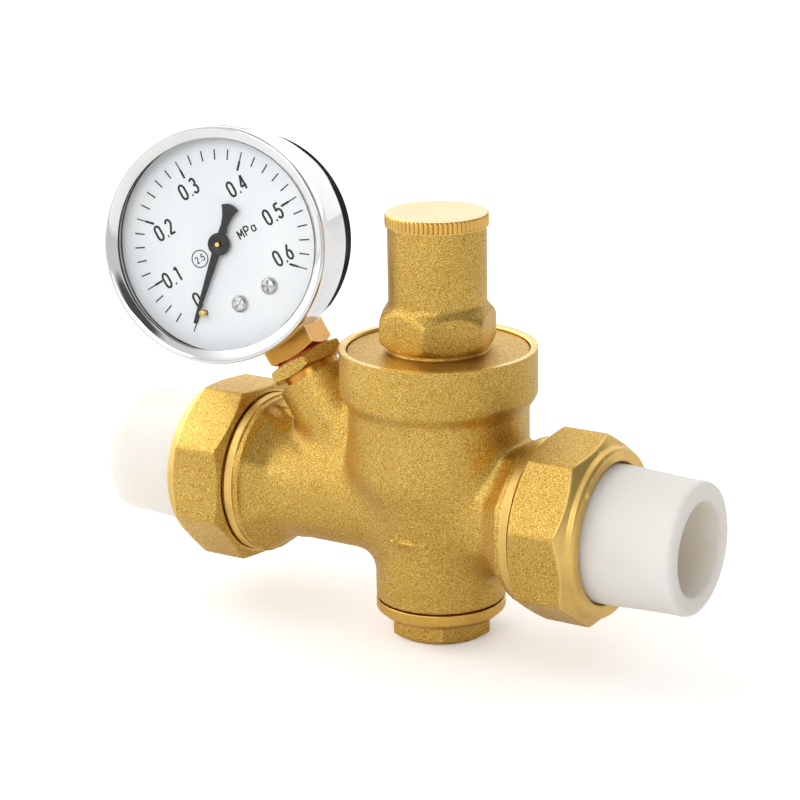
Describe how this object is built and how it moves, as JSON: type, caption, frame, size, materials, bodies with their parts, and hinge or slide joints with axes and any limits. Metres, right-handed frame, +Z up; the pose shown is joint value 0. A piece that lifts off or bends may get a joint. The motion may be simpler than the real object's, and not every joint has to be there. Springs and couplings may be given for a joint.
{
  "type": "pressure reducing valve",
  "caption": "Brass pressure reducing valve with spring bonnet, dial gauge on an angled boss, bottom plug and plastic pipe tails held by octagonal union nuts.",
  "frame": {"origin": "the point where the pipe axis crosses the upright axis of the valve", "axes": "+X along the pipe towards the inlet, +Z up the valve towards the adjuster cap, -Y the side the dial faces"},
  "size_m": [0.1383, 0.0413, 0.1063],
  "materials": {
    "cast_brass": "fine shot-blasted brass, even grain, soft sheen",
    "turned_brass": "turned bright brass with fine tool lines",
    "chrome": "polished plate on pressed steel",
    "steel": "stainless, lightly brushed",
    "ppr_plastic": "moulded milky white plastic, satin",
    "rubber": "black moulded rubber",
    "fibre": "red-brown pressed fibre",
    "lens_glass": "clear flat window",
    "dial_white": "white enamel with printed scale",
    "black_paint": "satin black enamel"
  },
  "bodies": {
    "root": {"valve_body": "cast_brass", "seat_ring": "steel", "diaphragm": "rubber", "slip_ring": "turned_brass", "spring_bonnet": "cast_brass", "control_spring": "steel", "adapter_washer": "fibre", "gauge_adapter": "turned_brass", "gauge_seal": "fibre", "gauge_block": "turned_brass", "gauge_case": "chrome", "gauge_bezel": "chrome", "gauge_lens": "lens_glass", "lens_gasket": "rubber", "gauge_dial": "dial_white", "dial_screw_1": "steel", "dial_screw_2": "steel", "stop_pin": "turned_brass", "movement_back_plate": "turned_brass", "movement_front_plate": "turned_brass", "movement_pillar_1": "turned_brass", "movement_pillar_2": "turned_brass", "hairspring": "steel", "bourdon_tube": "turned_brass", "tube_tip": "turned_brass"},
    "stem_assembly": {"valve_stem": "steel", "stem_nut": "steel", "lower_spring_seat": "turned_brass", "diaphragm_plate": "turned_brass", "disc_holder": "turned_brass", "disc_seal": "rubber", "disc_nut": "steel"},
    "spring_seat": {"upper_spring_seat": "turned_brass"},
    "adjuster": {"adjusting_screw": "turned_brass"},
    "cap_ring": {"cap_seal": "rubber"},
    "cap": {"adjuster_cap": "turned_brass"},
    "plug_ring": {"plug_washer": "fibre"},
    "plug": {"bottom_plug": "turned_brass"},
    "inlet_tail": {"inlet_union_tail": "ppr_plastic", "inlet_union_gasket": "rubber"},
    "inlet_nut": {"inlet_union_nut": "cast_brass"},
    "outlet_tail": {"outlet_union_tail": "ppr_plastic", "outlet_union_gasket": "rubber"},
    "outlet_nut": {"outlet_union_nut": "cast_brass"},
    "gauge_hand": {"pointer": "black_paint", "pointer_shaft": "turned_brass"},
    "gauge_sector": {"sector_gear": "turned_brass"},
    "gauge_rod": {"gauge_link": "turned_brass"}
  },
  "joints": [
    {"name": "stem_lift", "type": "slide", "parent": "root", "child": "stem_assembly", "axis": [0, 0, 1], "range_m": [0, 0.00245], "stiffness_N_per_m": 3000, "springref_m": -0.004, "deforming": ["control_spring", "diaphragm"]},
    {"name": "adjuster_feed", "type": "slide", "parent": "root", "child": "spring_seat", "axis": [0, 0, -1], "range_m": [0, 0.005], "deforming": ["control_spring"]},
    {"name": "adjuster_turn", "type": "hinge", "parent": "spring_seat", "child": "adjuster", "pos_m": [0, 0, 0.052], "axis": [0, 0, -1], "range_deg": [0, 1441]},
    {"name": "cap_lift", "type": "slide", "parent": "root", "child": "cap_ring", "axis": [0, 0, 1], "range_m": [0, 0.004]},
    {"name": "cap_turn", "type": "hinge", "parent": "cap_ring", "child": "cap", "pos_m": [0, 0, 0.061], "axis": [0, 0, 1], "range_deg": [0, 1441]},
    {"name": "plug_out", "type": "slide", "parent": "root", "child": "plug_ring", "axis": [0, 0, -1], "range_m": [0, 0.0075]},
    {"name": "plug_turn", "type": "hinge", "parent": "plug_ring", "child": "plug", "pos_m": [0, 0, -0.024], "axis": [0, 0, -1], "range_deg": [0, 1801]},
    {"name": "inlet_union_out", "type": "slide", "parent": "root", "child": "inlet_tail", "axis": [1, 0, 0], "range_m": [0, 0.00924]},
    {"name": "inlet_nut_turn", "type": "hinge", "parent": "inlet_tail", "child": "inlet_nut", "pos_m": [0.033, 0, 0], "axis": [1, 0, 0], "range_deg": [0, 1441]},
    {"name": "outlet_union_out", "type": "slide", "parent": "root", "child": "outlet_tail", "axis": [-1, 0, 0], "range_m": [0, 0.00924]},
    {"name": "outlet_nut_turn", "type": "hinge", "parent": "outlet_tail", "child": "outlet_nut", "pos_m": [-0.051, 0, 0], "axis": [-1, 0, 0], "range_deg": [0, 1441]},
    {"name": "pointer_turn", "type": "hinge", "parent": "root", "child": "gauge_hand", "pos_m": [-0.04949, 0, 0.05099], "axis": [-0.2146, 0.9659, -0.1447], "range_deg": [0, 265.3], "stiffness_Nm_per_rad": 0.002},
    {"name": "sector_swing", "type": "hinge", "parent": "root", "child": "gauge_sector", "pos_m": [-0.04446, 0, 0.04352], "axis": [0.2146, -0.9659, 0.1447], "range_deg": [0, 53.1]},
    {"name": "link_swing", "type": "hinge", "parent": "gauge_sector", "child": "gauge_rod", "pos_m": [-0.04394, -0.00042, 0.03999], "axis": [0.2146, -0.9659, 0.1447], "range_deg": [-47.8, 0]}
  ],
  "couplings": [
    {"joint": "adjuster_turn", "follows": "adjuster_feed", "rad_per_m": 5026.5},
    {"joint": "cap_turn", "follows": "cap_lift", "rad_per_m": 6283.2},
    {"joint": "plug_turn", "follows": "plug_out", "rad_per_m": 4188.8},
    {"joint": "inlet_nut_turn", "follows": "inlet_union_out", "rad_per_m": 2721.2},
    {"joint": "outlet_nut_turn", "follows": "outlet_union_out", "rad_per_m": 2721.2},
    {"joint": "sector_swing", "follows": "pointer_turn", "ratio": 0.2},
    {"joint": "link_swing", "follows": "pointer_turn", "ratio": -0.17992}
  ]
}
